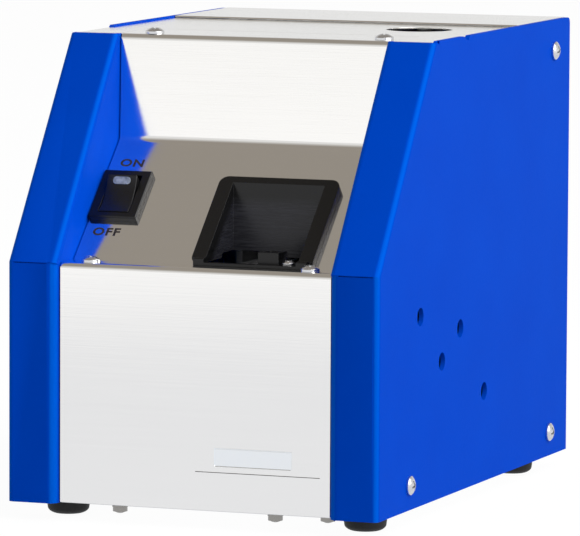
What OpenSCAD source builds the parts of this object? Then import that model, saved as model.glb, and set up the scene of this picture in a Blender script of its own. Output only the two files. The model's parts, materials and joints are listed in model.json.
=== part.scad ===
// Bench-top automatic screw feeder.
// A folded sheet-steel housing holds a hopper, a swinging scoop, a vibrating rail, a sweeping brush
// and a notched disc that presents one screw at a time in the front window.
//
// Every module is drawn from one datum: X from the centre plane, +X to the right seen from the front;
// Y back from the front face of the side covers; Z up from the bottom edge of the side covers.
// placed() moves that datum so that the origin is the middle of the footprint, on the bench.

/* [Housing] */
// Width over the two side covers
housing_w = 123; // [121:0.5:127]
// Depth of the side covers
housing_d = 185; // [184:0.5:192]
// Height at which the front strips lean back
kink_z = 75.6; // [75:0.1:76.4]
// How far the front strips lean back
lean_run = 50.2; // [49:0.1:51]
// Height of the front strips
strip_top_z = 143.8; // [143:0.1:145]
// How far the side covers stand above the front strips
cover_rise = 0.5; // [0.5:0.1:1.2]
// Width of each front strip
strip_w = 16.2; // [15.8:0.1:17]
// Sheet thickness of the painted side covers
cover_t = 1.5; // [1.2:0.1:1.6]
// Sheet thickness of the stainless parts
steel_t = 1; // [0.8:0.1:1]

/* [Window and switch] */
// Centre of the window, to the right of the middle
window_x = 15.2; // [13:0.1:16]
// Width of the window's clear opening
window_w = 30.5; // [28:0.5:31]
// Width of the window's raised frame
frame_w = 4.8; // [4:0.1:5]
// Centre of the switch, to the left of the middle
switch_x = -36.7; // [-36.8:0.1:-34]
// Width of the switch frame
switch_w = 15.8; // [15:0.1:16]
// Length of the switch frame up the slope
switch_l = 20.1; // [19.5:0.1:21]

/* [Mechanism] */
// Rail centre line, to the right of the middle
rail_x = 20; // [19.5:0.1:20.5]
// Slot between the rail halves, for the screw shanks
rail_slot = 3.2; // [2.2:0.1:5.2]
// How far the scoop swings up
scoop_swing = 36; // [30:1:36]
// Teeth of the drive pinion
pinion_teeth = 14; // [14:1:14]
// Teeth of the full circle of which the scoop's gear is a part
sector_teeth = 56; // [56:1:56]

/* [Feet] */
// Height of the rubber feet
foot_h = 5.7; // [4:0.1:8]
// Diameter of the rubber feet
foot_d = 14; // [12:0.2:16]

/* [Hidden] */
$fn = 48;
far = 400;          // longer than the whole feeder, for cutting blocks
gap = 0.1;          // clearance between sheets that only lie beside each other
run_fit = 0.05;     // radial clearance of a turning shaft

// --- side covers ---
half_w = housing_w / 2;
wall_x = half_w - cover_t;             // inner face of a side cover
return_x = half_w - strip_w;           // outer face of the fold beside the opening
lean = atan(lean_run / (strip_top_z - kink_z));
strip_len = norm([lean_run, strip_top_z - kink_z]);
corner_r = 1.9;                        // fold between side wall and strip
return_r = 3;                          // fold between strip and return, below the kink
return_upper_r = 1.9;                  // the same above it
return_back = 12;                      // how far back the lower return reaches
cover_top_z = strip_top_z + cover_rise;
relief_y = 78;                         // relief notch in the top edge
relief_w = 5.6;

// --- stainless deck, from the ledge up to the top plate ---
panel_y = 3;                           // front face of the front panel
ledge_z = kink_z - 0.1;
ledge_back = 14;
break_y = 51.7;                        // foot of the riser
break_z = 110.4;
riser_y = 52.7;                        // top of the riser
flange_back = 78;                      // rear edge of the deck's top flange
opening_x = return_x - 0.4;            // half width of the sheets between the covers
flange_x = return_x + 0.7;
slope = atan((break_z - ledge_z) / (break_y - ledge_back));
ledge_end = ledge_back - steel_t / tan(slope) - 0.4;   // the front panel's ledge stops at the slope's foot
top_z = strip_top_z;                   // upper face of the top plate

// --- top plate and lid ---
lid_y = 135.4;
lid_top_z = cover_top_z + 0.1;
lid_t = 0.5;
lid_back = housing_d - 0.8;
plate_back = 146;
sight_hole = [34.9, 110.5];
sight_r = 10.6;
hinge_y = 179.4;
hinge_z = 140.1;
hinge_r = 1.25;

// --- rear panel ---
rear_y = 181.2;                        // front face of the rear panel
rear_t = 1.2;
rear_top_z = 142.1;
rear_lug_x = 47;
jack_at = [-40, 24];

// --- base ---
pan_t = 1.2;
pan_x = wall_x - 0.4;
pan_front = 4.2;
pan_wide_from = 13;
pan_back = rear_y;
pan_flange_h = 14;
foot_at = [[-49.8, 21.6], [49.8, 21.6], [-49.8, 163.4], [49.8, 163.4]];
cover_screw_at = [[28.7, 7.9], [165.8, 8], [168.4, 134.2]];
front_screw_at = [[-26.4, 7.4], [25.4, 7.4], [41, 12]];
bracket_screw_at = [[12, 32], [28, 32]];
frame_screw_at = [[-7, 60], [-7, 90], [47, 60], [47, 140]];
rear_screw_x = [-42, 42];
ledge_screw_x = 36.4;
ledge_screw_y = 7.5;
top_screw_at = [[-35, 56.7], [41.8, 58.2]];

// --- switch, in the slope's own plane: u to the right, v up the slope, w out of it ---
switch_v = 25.8;
switch_rise = 2.7;                     // how far the frame stands out of the slope
rocker_tilt = 11.5;
rocker_w = 9.9;
rocker_l = 13.4;
rocker_end_w = 3.7;                    // height of the rocker's ends and of its hollow middle
rocker_mid_w = 2.3;
lens_v = 4.95;
lens_size = [5.9, 2.5];

// --- window ---
window_top_v = 32;                     // top of the clear opening up the slope
bezel_rise = 2.6;                      // how far the frame stands out of the slope
bezel_corner_r = 3;
pocket_back = 36;                      // front face of the pocket's back wall
lip_y = 10.5;                          // front and rear face of the lip below the opening
lip_back = 13.4;
lip_z = 76.5;
leg_z = 77.9;                          // front edge of the legs beside the lip
leg_inset = 1.3;
pocket_low_z = 76.4;                   // lower edges of the pocket's walls
pocket_high_z = 78;
pocket_step_y = 26;
pocket_step_x = 16.5;
guide_at = [16.6, 14.2];               // near left corner of the bit guide's block
guide_size = [6.8, 7.8, 3.6];
window_screw_at = [26.2, 15.6];

// --- mechanism: everything turns about X unless it says otherwise ---
frame_x = [-2, 40];                    // outer faces of the left cheek and inner face of the right one
cheek_t = 2;
cheek_front = 44;
cheek_step = 127;
cheek_back = 172;
cheek_top_z = 100;
pivot = [124, 48];                     // scoop pivot (Y, Z)
gear_m = 1;                            // gear module
mesh_angle = 250;                      // direction from the pivot to the pinion
centre_dist = gear_m * (pinion_teeth + sector_teeth) / 2;
pinion_at = pivot + centre_dist * [cos(mesh_angle), sin(mesh_angle)];
brush_at = [112, 88];
brush_r = 9;
belt_x = -5;                           // middle plane of the belt
drive_pulley_r = 7;
brush_pulley_r = 7;
belt_t = 1.2;
shaft_r = 2;
gear_x = 5.5;                          // middle plane of the gears
scoop_w = 7;

// --- hopper bin ---
bin_front = 130;
bin_back = 176.4;
bin_t = 2;
bin_left = -12;
bin_right = 54;
bin_top_z = 140.5;
trough_half = 6;
trough_z = 58;
trough_foot_z = 40;
left_knee_z = 100;
right_knee_z = 84;

// --- rail ---
rail_top_z = 75.2;
rail_h = 13;
rail_half = 6.6;
rail_front = 38;
rail_back = 122.8;
carrier_z = rail_top_z - rail_h;
carrier_h = 6;
passing_screw_at = [101, 84];
leaf_y = [54, 94];
leaf_w = 12;
leaf_t = 0.5;
leaf_foot_z = 12;
coil_y = 70;

// --- escapement, which turns about Z ---
disc_at = [rail_x, 26.4];
disc_r = 10.6;
disc_z = 71;
disc_t = 4;
shelf_z = 66;
shelf_t = 2;
bracket_y = 9.6;                       // front face of the bracket's web
bracket_half = 15.5;
pick_y = disc_at[1] - disc_r + 2.2;
ring_r = 15;

// ---------------------------------------------------------------- helpers

module placed() translate([0, -housing_d / 2, foot_h]) children();

function unit(v) = v / norm(v);
function left_of(v) = [-v[1], v[0]];

// Points of the arc that rounds corner b of the path a-b-c.
function corner_arc(a, b, c, r, n) =
  let (u = unit(a - b), v = unit(c - b), half = acos(u * v) / 2,
       o = b + unit(u + v) * r / sin(half),
       s = b + u * r / tan(half) - o, e = b + v * r / tan(half) - o,
       from = atan2(s[1], s[0]), turn = (atan2(e[1], e[0]) - from + 540) % 360 - 180)
  [for (i = [0:n]) o + r * [cos(from + turn * i / n), sin(from + turn * i / n)]];

// A path with its inner corners rounded; radii has one entry for each inner corner.
function bent(path, radii, n = 6) =
  [for (i = [0:len(path) - 1])
     each (i == 0 || i == len(path) - 1) ? [path[i]]
       : corner_arc(path[i - 1], path[i], path[i + 1], radii[i - 1], n)];

// Point i of a path, moved t to its left with mitred corners.
function beside(path, i, t) =
  let (last = len(path) - 1,
       before = unit(path[max(i, 1)] - path[max(i, 1) - 1]),
       after = unit(path[min(i, last - 1) + 1] - path[min(i, last - 1)]),
       n = unit(left_of(before) + left_of(after)))
  path[i] + n * t / (n * left_of(before));

// Cross-section of a folded sheet: the path is one face and the other lies t to its left.
module folded(path, t)
  polygon(concat(path, [for (i = [len(path) - 1:-1:0]) beside(path, i, t)]));

// Turns a profile drawn as (Y, Z) into a solid from x0 to x1.
module across(x0, x1) translate([x0, 0, 0]) rotate([90, 0, 90]) linear_extrude(x1 - x0) children();

// A cylinder along X.
module rod(x0, x1, at, r) translate([x0, at[0], at[1]]) rotate([0, 90, 0]) cylinder(h = x1 - x0, r = r);

// Puts the slope's own frame in place: X right, Y up the slope, Z out of it.
module on_slope() translate([0, ledge_back, ledge_z]) rotate([slope, 0, 0]) children();

// Rounded rectangle, centred.
module rounded_rect(w, l, r) {
  square([w - 2 * r, l], center = true);
  square([w, l - 2 * r], center = true);
  for (x = [-1, 1], y = [-1, 1]) translate([x * (w / 2 - r), y * (l / 2 - r)]) circle(r);
}

// Pan-head screw: seat at the origin, head up, shank down.
module pan_screw(shank, r = 1.5) {
  head_r = 2 * r;
  head_h = 1.35 * r;
  dome_r = 2.9 * r;
  difference() {
    intersection() {
      cylinder(h = head_h, r = head_r);
      translate([0, 0, head_h - dome_r]) sphere(dome_r);
    }
    for (turn = [0, 90]) rotate([0, 0, turn + 20])
      translate([-1.1 * r, -0.2 * r, 0.5 * r]) cube([2.2 * r, 0.4 * r, far / 100]);
  }
  translate([0, 0, -shank]) cylinder(h = shank, r = r);
}

// Cheese-head screw with a captive washer: seat at the origin, head up, shank down.
module washer_screw(shank, r = 1.25) {
  cylinder(h = 0.6 * r, r = 1.96 * r);
  cylinder(h = 1.7 * r, r = 1.84 * r);
  intersection() {
    cylinder(h = 2.2 * r, r = 1.84 * r);
    translate([0, 0, -0.3 * r]) sphere(2.5 * r);
  }
  translate([0, 0, -shank]) cylinder(h = shank, r = r);
}

// Involute gear profile with z teeth; keep limits the teeth to a range of tooth numbers.
function involute(base, roll) = base * [cos(roll) + roll * PI / 180 * sin(roll), sin(roll) - roll * PI / 180 * cos(roll)];
function turned(p, a) = [p[0] * cos(a) - p[1] * sin(a), p[0] * sin(a) + p[1] * cos(a)];
module gear_profile(z, first, last, web_r) {
  pitch = gear_m * z / 2;
  base = pitch * cos(20);
  tip = pitch + 0.85 * gear_m;
  root = pitch - 1.1 * gear_m;
  roll_tip = sqrt(pow(tip / base, 2) - 1) * 180 / PI;
  at_pitch = sqrt(pow(pitch / base, 2) - 1) * 180 / PI - 20;
  half_tooth = 90 / z - 0.08 / pitch * 180 / PI + at_pitch;
  flank = [for (i = [0:4]) turned(involute(base, roll_tip * i / 4), -half_tooth)];
  tooth = concat([turned([root - 0.3, 0], -half_tooth)], flank,
                 [for (i = [4:-1:0]) [flank[i][0], -flank[i][1]]], [turned([root - 0.3, 0], half_tooth)]);
  for (k = [first:last]) rotate(360 / z * k) polygon(tooth);
  if (web_r > 0) circle(root);
}

// ---------------------------------------------------------------- housing

// Section across one side cover: wall, front strip and return, seen along the strip.
module cover_section(wall_leg, return_leg, r_return)
  folded(bent([[half_w, wall_leg], [half_w, 0], [return_x, 0], [return_x, return_leg]],
              [corner_r, r_return]), -cover_t);

module side_cover(holes) {
  mitre_leg = far / 20;
  difference() {
    union() {
      // lower front, cut on the kink's bisector
      difference() {
        linear_extrude(kink_z + mitre_leg) cover_section(4, return_r + 1, return_r);
        translate([0, 0, kink_z]) rotate([-lean / 2, 0, 0])
          translate([-far / 2, -far / 2, 0]) cube([far, far, far]);
      }
      // leaning upper front
      difference() {
        translate([0, 0, kink_z]) rotate([-lean, 0, 0]) translate([0, 0, -mitre_leg])
          linear_extrude(strip_len + 2 * mitre_leg) cover_section(4, return_upper_r + 1, return_upper_r);
        translate([0, 0, kink_z]) rotate([-lean / 2, 0, 0])
          translate([-far / 2, -far / 2, -far]) cube([far, far, far]);
        translate([-far / 2, -far / 2, strip_top_z]) cube([far, far, far]);
      }
      across(wall_x, half_w) cover_wall();
      across(return_x, return_x + cover_t) cover_return();
    }
    // seam where the two front flanges butt at the kink
    translate([return_x + return_r, -1, kink_z - 0.12])
      rotate([-lean / 2, 0, 0]) cube([strip_w - return_r - corner_r, 4, 0.24]);
    // clipped top corner
    translate([half_w, lean_run, strip_top_z]) rotate([0, 45, 0]) cube([1, 8, 1], center = true);
    for (at = holes) rod(wall_x - 1, half_w + 1, at, 2.9);
    for (at = cover_screw_at) rod(wall_x - 1, half_w + 1, at, 1.7);
  }
}

// Side wall, from just behind the front fold to the rear edge, as (Y, Z).
module cover_wall() {
  back_r = 2;
  polygon(concat(
    [[corner_r, 0], [corner_r, kink_z - corner_r * tan(lean / 2)],
     [lean_run + corner_r / cos(lean), strip_top_z], [lean_run + corner_r / cos(lean) + 0.8, cover_top_z],
     [relief_y - 0.6, cover_top_z], [relief_y, cover_top_z - 0.3],
     [relief_y + 2.6, cover_top_z - 1.3], [relief_y + 3.6, cover_top_z - 1.5],
     [relief_y + 4.4, cover_top_z - 1.3], [relief_y + 4.7, cover_top_z - 0.6],
     [relief_y + relief_w, cover_top_z]],
    [for (a = [90:-15:0]) [housing_d - back_r + back_r * cos(a), cover_top_z - back_r + back_r * sin(a)]],
    [[housing_d, 0]]));
}

// Return beside the opening: shallow behind the front panel, and as deep as the recess above it.
module cover_return() {
  behind = 5;
  under_top = top_z - steel_t - 0.2;
  polygon([
    [return_r, 0], [return_r, kink_z - return_r * tan(lean / 2)],
    [lean_run - (strip_top_z - under_top) * tan(lean) + return_upper_r / cos(lean), under_top],
    [riser_y + behind, under_top], [break_y + behind, break_z - 2],
    [ledge_back + behind, ledge_z - 3], [return_back, ledge_z - 8], [return_back, 0]]);
}

module side_cover_right() color([0.02, 0.25, 0.75]) placed()
  side_cover([[38.3, 59.4], [76.2, 51.9], [58.9, 43.2], [99.9, 29.2]]);

module side_cover_left() color([0.02, 0.25, 0.75]) placed() mirror([1, 0, 0]) side_cover([]);

module base_pan() color("gainsboro") placed() difference() {
  union() {
    linear_extrude(pan_t) polygon([
      [-opening_x, pan_front], [opening_x, pan_front], [opening_x, pan_wide_from], [pan_x, pan_wide_from],
      [pan_x, pan_back], [-pan_x, pan_back], [-pan_x, pan_wide_from], [-opening_x, pan_wide_from]]);
    for (side = [0, 1]) mirror([side, 0, 0]) translate([0, 16, 0]) rotate([90, 0, 0]) mirror([0, 0, 1])
      linear_extrude(pan_back - 24)
        folded(bent([[pan_x - 6, 0], [pan_x, 0], [pan_x, pan_flange_h]], [2]), pan_t);
    across(-50, 50)
      folded(bent([[pan_back - 8, 0], [pan_back, 0], [pan_back, 10]], [2]), pan_t);
  }
  for (at = foot_at) translate([at[0], at[1], -1]) cylinder(h = 4, r = 1.6);
  for (at = concat(front_screw_at, bracket_screw_at, frame_screw_at))
    translate([at[0], at[1], -1]) cylinder(h = 4, r = 1.35);
  for (at = [cover_screw_at[0], cover_screw_at[1]]) rod(-far / 2, far / 2, at, 1.6);
  for (x = rear_screw_x) translate([x, pan_back - 3, 6.5]) rotate([-90, 0, 0]) cylinder(h = 6, r = 1.6);
}

module front_cover() color("silver") placed() {
  difference() {
    union() {
      across(-opening_x, opening_x)
        folded(bent([[panel_y, 0.3], [panel_y, ledge_z], [ledge_end, ledge_z]], [1.9]), -steel_t);
      // welded angle that carries the panel on the base pan, notched for the escapement bracket
      difference() {
        across(-44, 44)
          folded(bent([[panel_y + steel_t, 12], [panel_y + steel_t, pan_t], [16, pan_t]], [1.9]), steel_t);
        translate([rail_x - bracket_half - 0.5, bracket_y - 0.2, 0]) cube([2 * bracket_half + 1, 10, 5]);
      }
    }
    for (x = [-ledge_screw_x, ledge_screw_x])
      translate([x, ledge_screw_y, ledge_z - 3]) cylinder(h = 6, r = 1.6);
    for (at = front_screw_at) translate([at[0], at[1], 0]) cylinder(h = 5, r = 1.35);
  }
}

// Deck: a tab under the ledge, the slope, the riser and the top flange, in one folded sheet.
module deck_cover() color("silver") placed() {
  tab_z = ledge_z - steel_t;
  tab_y = ledge_back - (ledge_z - tab_z) / tan(slope);
  difference() {
    union() {
      across(-opening_x, opening_x)
        folded(bent([[6.2, tab_z], [tab_y, tab_z], [break_y, break_z], [riser_y, top_z], [riser_y + 8, top_z]],
                    [1, 3, 1.9]), -steel_t);
      across(-flange_x, flange_x)
        folded([[riser_y + 3, top_z], [flange_back, top_z]], -steel_t);
    }
    on_slope() translate([switch_x, switch_v, 0]) cube([switch_w - 2.2, switch_l - 1.6, 10], center = true);
    on_slope() translate([window_x - window_w / 2 - 2, -4, -5]) cube([window_w + 4, window_top_v + 5.6, 10]);
    for (x = [-ledge_screw_x, ledge_screw_x])
      translate([x, ledge_screw_y, ledge_z - 5]) cylinder(h = 8, r = 1.6);
    for (at = top_screw_at) translate([at[0], at[1], top_z - 5]) cylinder(h = 8, r = 1.6);
  }
}

// Top plate: lies flush round the deck's flange, between the side covers, and passes under the lid.
module top_plate() color("silver") placed() {
  plate_x = wall_x - gap;
  front = lean_run + cover_t / cos(lean) + 0.9;
  difference() {
    union() {
      translate([-plate_x, front, top_z - steel_t]) cube([2 * plate_x, plate_back - front, steel_t]);
      for (side = [0, 1]) mirror([side, 0, 0])
        translate([plate_x - steel_t, relief_y + 8, top_z - 12]) cube([steel_t, plate_back - relief_y - 8, 11.5]);
    }
    translate([-flange_x - 0.2, 0, top_z - 5]) cube([2 * flange_x + 0.4, flange_back + 0.2, 10]);
    // notch for the ends of the covers' folds
    translate([-return_x - cover_t - gap, 0, top_z - 5]) cube([2 * (return_x + cover_t + gap), front + 0.9, 10]);
    translate([sight_hole[0], sight_hole[1], top_z - 5]) cylinder(h = 10, r = sight_r);
  }
}

// Bar under the joint of deck and top plate; the plate is spot-welded to it and the deck is screwed to it.
module top_crossbar() color("silver") placed() difference() {
  across(-return_x + 0.4, return_x - 0.4)
    folded([[riser_y + 2.2, top_z - steel_t], [92, top_z - steel_t], [92, top_z - 10]], -1.5);
  for (at = top_screw_at) translate([at[0], at[1], top_z - 6]) cylinder(h = 8, r = 1.5 + run_fit);
}

module rear_panel() color("gainsboro") placed() {
  panel_x = wall_x - gap;
  difference() {
    union() {
      translate([-panel_x, rear_y, 0.4]) cube([2 * panel_x, rear_t, rear_top_z - 0.4]);
      // side flanges that take the covers' upper rear screws
      for (side = [0, 1]) mirror([side, 0, 0])
        translate([panel_x - rear_t, 160, 100]) cube([rear_t, rear_y - 160 + 0.5, rear_top_z - 100]);
      // lugs that hold the hinge pin
      for (x = [-rear_lug_x, rear_lug_x]) translate([x - 1, 0, 0]) across(0, 2) hinge_lug(rear_y);
    }
    rod(-far / 2, far / 2, cover_screw_at[2], 1.6);
    translate([jack_at[0], rear_y - 1, jack_at[1]]) rotate([-90, 0, 0]) cylinder(h = 4, r = 4.1);
    for (x = rear_screw_x) translate([x, rear_y - 1, 6.5]) rotate([-90, 0, 0]) cylinder(h = 4, r = 1.6);
    rod(-far / 2, far / 2, [hinge_y, hinge_z], hinge_r);
    // notches that the lid's ears turn in
    for (side = [0, 1]) mirror([side, 0, 0])
      translate([rear_lug_x + 1.05, rear_y - 1, hinge_z - 6]) cube([2.6, 4, 20]);
    // rows of cooling slots
    for (row = [0:4]) translate([0, rear_y - 1, 60 + 9 * row]) rotate([-90, 0, 0])
      linear_extrude(4) rounded_rect(40, 3, 1.45);
  }
}

module hinge_lug(foot_y) {
  lug_r = 2.9;
  translate([hinge_y, hinge_z]) circle(lug_r);
  polygon([[foot_y + 0.5, hinge_z - 13], [foot_y + 0.5, hinge_z], [hinge_y - lug_r, hinge_z],
           [hinge_y - lug_r, hinge_z - 6]]);
}

// Lid: flat sheet that rests on the top plate, with two ears on the hinge pin.
module hopper_lid() color("silver") placed() {
  lid_x = wall_x - 0.3;
  ear_t = 1.5;
  difference() {
    union() {
      translate([-lid_x, lid_y, lid_top_z - lid_t]) cube([2 * lid_x, lid_back - lid_y, lid_t]);
      for (x = [-rear_lug_x - 1 - 0.4 - ear_t, rear_lug_x + 1 + 0.4]) across(x, x + ear_t) {
        translate([hinge_y, hinge_z]) circle(2.6);
        translate([hinge_y - 2.6, hinge_z]) square([5.2, lid_top_z - hinge_z - lid_t / 2]);
      }
    }
    rod(-far / 2, far / 2, [hinge_y, hinge_z], hinge_r + run_fit);
  }
}

module hinge_pin() color("dimgray") placed() rod(-rear_lug_x - 5, rear_lug_x + 5, [hinge_y, hinge_z], hinge_r);

// ---------------------------------------------------------------- feet and screws

module rubber_feet() color([0.08, 0.08, 0.08]) placed() for (at = foot_at) translate([at[0], at[1], -foot_h])
  difference() {
    rotate_extrude() polygon(concat(
      [[0, 0]], [for (a = [-90:15:0]) [foot_d / 2 - 0.4 - 1.6 + 1.6 * cos(a), 1.6 + 1.6 * sin(a)]],
      [[foot_d / 2, foot_h], [0, foot_h]]));
    translate([0, 0, -1]) cylinder(h = foot_h + 2, r = 1.6);
    translate([0, 0, -1]) cylinder(h = 1 + foot_h - 1.4, r = 3.4);
  }

module foot_screws() color("silver") placed() for (at = foot_at)
  translate([at[0], at[1], -1.4]) mirror([0, 0, 1]) pan_screw(6);

module cover_screws() color("silver") placed() for (side = [0, 1]) mirror([side, 0, 0])
  for (at = cover_screw_at) translate([half_w, at[0], at[1]]) rotate([0, 90, 0]) pan_screw(6);

module ledge_screws() color("silver") placed() for (x = [-ledge_screw_x, ledge_screw_x])
  translate([x, ledge_screw_y, ledge_z]) pan_screw(6);

module top_screws() color("silver") placed() for (at = top_screw_at)
  translate([at[0], at[1], top_z]) pan_screw(6);

module base_screws() color("silver") placed() for (at = concat(front_screw_at, bracket_screw_at, frame_screw_at))
  translate([at[0], at[1], 0]) mirror([0, 0, 1]) washer_screw(6);

module rear_screws() color("silver") placed() for (x = rear_screw_x)
  translate([x, rear_y + rear_t, 6.5]) rotate([-90, 0, 0]) pan_screw(5);

// ---------------------------------------------------------------- window and switch

// Height of the slope's surface at y, plus a rise that is measured out of the slope.
function slope_z(y, rise = 0) = ledge_z + (y - ledge_back) * tan(slope) + rise / cos(slope);

// Y and Z of a point v up the slope and w out of it.
function slope_y(v, w = 0) = ledge_back + v * cos(slope) - w * sin(slope);
function slope_v_z(v, w = 0) = ledge_z + v * sin(slope) + w * cos(slope);

// Black frame on the slope, with two legs and a lip on the ledge and a pocket that hangs below it.
module window_bezel() color([0.12, 0.12, 0.12]) placed() {
  half = window_w / 2;
  outer = half + frame_w;
  top_v = window_top_v + 2.9;
  wall_t = 1.6;
  wall_back = pocket_back + wall_t;
  wall_top_z = slope_z(wall_back, 1.4);
  difference() {
    union() {
      // frame, square to the slope at its upper end
      across(window_x - outer, window_x + outer) polygon([
        [lip_back + 1, slope_z(lip_back + 1)], [lip_back - 0.5, leg_z - 0.8], [lip_back - 0.6, leg_z - 0.1],
        [lip_back, slope_z(lip_back, bezel_rise)], [slope_y(top_v, bezel_rise), slope_v_z(top_v, bezel_rise)],
        [slope_y(top_v), slope_v_z(top_v)]]);
      // legs and lip
      across(window_x - outer + leg_inset, window_x + outer - leg_inset) polygon([
        [lip_y, ledge_z], [lip_y, leg_z - 0.3], [lip_y + 0.3, leg_z], [lip_back + 0.5, leg_z + 0.2],
        [lip_back + 1, slope_z(lip_back + 1)], [ledge_back, ledge_z]]);
      // pocket walls
      across(window_x - half - wall_t, window_x + half + wall_t) polygon([
        [lip_back, pocket_low_z], [pocket_step_y, pocket_low_z], [pocket_step_y + 0.5, pocket_high_z - 0.5],
        [pocket_step_y + 1.5, pocket_high_z], [wall_back, pocket_high_z],
        [wall_back, wall_top_z], [lip_back, ledge_z + 2]]);
      across(pocket_step_x, window_x + half + wall_t) polygon([
        [pocket_back, pocket_low_z], [wall_back, pocket_low_z], [wall_back, wall_top_z], [pocket_back, wall_top_z]]);
    }
    translate([window_x - half, lip_back, 0]) cube([window_w, pocket_back - lip_back, far]);
    translate([window_x - half, 0, lip_z]) cube([window_w, lip_back + 1, far]);
    // round upper corners of the frame
    on_slope() for (side = [0, 1]) translate([window_x, 0, -1]) mirror([side, 0, 0])
      translate([outer - bezel_corner_r, top_v - bezel_corner_r, 0]) difference() {
        cube([bezel_corner_r + 1, bezel_corner_r + 1, 2 * bezel_rise]);
        translate([0, 0, -1]) cylinder(h = 3 * bezel_rise, r = bezel_corner_r);
      }
  }
}

// Guide over the place where the driver bit picks the screw up: a block on a plate that lies on the ring.
module bit_guide() color([0.12, 0.12, 0.12]) placed() difference() {
  union() {
    translate([guide_at[0] - 0.4, lip_back + 0.1, ledge_z]) cube([guide_size[0] + 0.8, 9.4, pocket_low_z - ledge_z]);
    translate([guide_at[0] - 0.4, lip_back + 0.1, ledge_z])
      cube([window_x + window_w / 2 - guide_at[0] + 0.2, 5.6, pocket_low_z - ledge_z]);
    translate([guide_at[0], guide_at[1], ledge_z]) cube(guide_size + [0, 0, pocket_low_z - ledge_z]);
  }
  translate([rail_x, pick_y, ledge_z - 1]) cylinder(h = 8, r = 2.2);
  translate([window_screw_at[0], window_screw_at[1], ledge_z - 1]) cylinder(h = 4, r = 1 + run_fit);
}

module window_screw() color("silver") placed()
  translate([window_screw_at[0], window_screw_at[1], pocket_low_z]) pan_screw(4.5, 1);

module switch_body() color([0.1, 0.1, 0.1]) placed() on_slope() translate([switch_x, switch_v, 0]) difference() {
  bevel = 0.6;
  union() {
    difference() {
      linear_extrude(switch_rise) rounded_rect(switch_w, switch_l, 0.8);
      for (turn = [0:3]) rotate(90 * turn)
        translate([(turn % 2 == 0 ? switch_w : switch_l) / 2, 0, switch_rise]) rotate([0, 45, 0])
          cube([bevel, 40, bevel], center = true);
    }
    translate([0, 0, -7]) cube([switch_w - 2.6, switch_l - 2, 14.02], center = true);
    for (v = [-5, 0, 5]) translate([0, v, -16.5]) cube([4.8, 0.8, 8], center = true);
  }
  translate([0, 0, 0]) cube([rocker_w + 0.5, rocker_l + 2.2, 20], center = true);
}

// Rocker profile as (v, w): a hollow top on a round belly.
function rocker_top(v) = rocker_mid_w + (rocker_end_w - rocker_mid_w) * pow(2 * v / rocker_l, 2);
module rocker_profile() {
  half = rocker_l / 2;
  steps = 12;
  polygon(concat([for (i = [0:steps]) let (v = -half + rocker_l * i / steps) [v, rocker_top(v)]],
                 [[half - 0.1, 0.6]],
                 [for (a = [-40:-10:-140]) [half * cos(a), 1.2 + half * sin(a)]],
                 [[-half + 0.1, 0.6]]));
}

module at_switch(tilt) on_slope() translate([switch_x, switch_v, 0]) rotate([tilt, 0, 0]) children();

// Lens on the rocker's upper half, in line with the hollow top.
module lens_shape(h) {
  dip = atan(8 * (rocker_end_w - rocker_mid_w) * lens_v / pow(rocker_l, 2));
  translate([0, lens_v, rocker_top(lens_v)]) rotate([dip, 0, 0]) translate([0, 0, -0.7])
    linear_extrude(h) rounded_rect(lens_size[0], lens_size[1], lens_size[1] / 2 - 0.05);
}

module switch_rocker() color([0.06, 0.06, 0.06]) placed() at_switch(rocker_tilt) difference() {
  across(-rocker_w / 2, rocker_w / 2) rocker_profile();
  lens_shape(4);
}

module switch_lens() color("white") placed() at_switch(rocker_tilt) lens_shape(0.9);

// ---------------------------------------------------------------- electrics

module power_jack() color([0.08, 0.08, 0.08]) placed()
  translate([jack_at[0], rear_y, jack_at[1]]) rotate([-90, 0, 0]) {
    difference() {
      union() {
        translate([0, 0, -14]) cylinder(h = 14, r = 5.2);
        cylinder(h = rear_t + 2.4, r = 4);
      }
      translate([0, 0, -9]) cylinder(h = 20, r = 2.8);
    }
    translate([0, 0, -9.5]) cylinder(h = 10, r = 1.05);
  }

module jack_nut() color("silver") placed()
  translate([jack_at[0], rear_y + rear_t, jack_at[1]]) rotate([-90, 0, 0]) difference() {
    cylinder(h = 1.8, r = 6, $fn = 6);
    translate([0, 0, -1]) cylinder(h = 4, r = 4 + run_fit);
  }

board_at = [-34, 62];
board_size = [40, 66];
board_z = 8;
board_holes = [for (x = [-1, 1], y = [-1, 1])
  [board_at[0] + x * (board_size[0] / 2 - 3.5), board_at[1] + y * (board_size[1] / 2 - 3.5)]];

module control_board() color([0.05, 0.35, 0.15]) placed() difference() {
  translate([board_at[0] - board_size[0] / 2, board_at[1] - board_size[1] / 2, board_z])
    cube([board_size[0], board_size[1], 1.6]);
  for (at = board_holes) translate([at[0], at[1], board_z - 1]) cylinder(h = 4, r = 1.6);
}

module board_components() color([0.15, 0.15, 0.15]) placed()
  translate([board_at[0], board_at[1], board_z + 1.6]) {
    translate([-5, -6, 0]) cube([10, 10, 1.8]);
    for (v = [-22, 20]) translate([-9, v, 0]) cube([18, 6, 8]);
    for (v = [-12, 8]) translate([12, v, 0]) cylinder(h = 11, r = 4);
    translate([-16, -12, 0]) cube([6, 22, 9]);
  }

module board_standoffs() color("gold") placed() for (at = board_holes) translate([at[0], at[1], pan_t])
  difference() {
    cylinder(h = board_z - pan_t, r = 3, $fn = 6);
    translate([0, 0, 1]) cylinder(h = 20, r = 1.5 + run_fit);
  }

// ---------------------------------------------------------------- mechanism frame and hopper

// Height of the bin's sloping sides at x, where the frame's cheeks carry them.
function bin_under_left(x) =
  trough_z + (rail_x - trough_half - x) * (left_knee_z - trough_z) / (rail_x - trough_half - bin_left);
function bin_under_right(x) =
  trough_z + (x - rail_x - trough_half) * (right_knee_z - trough_z) / (bin_right - rail_x - trough_half);

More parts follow.
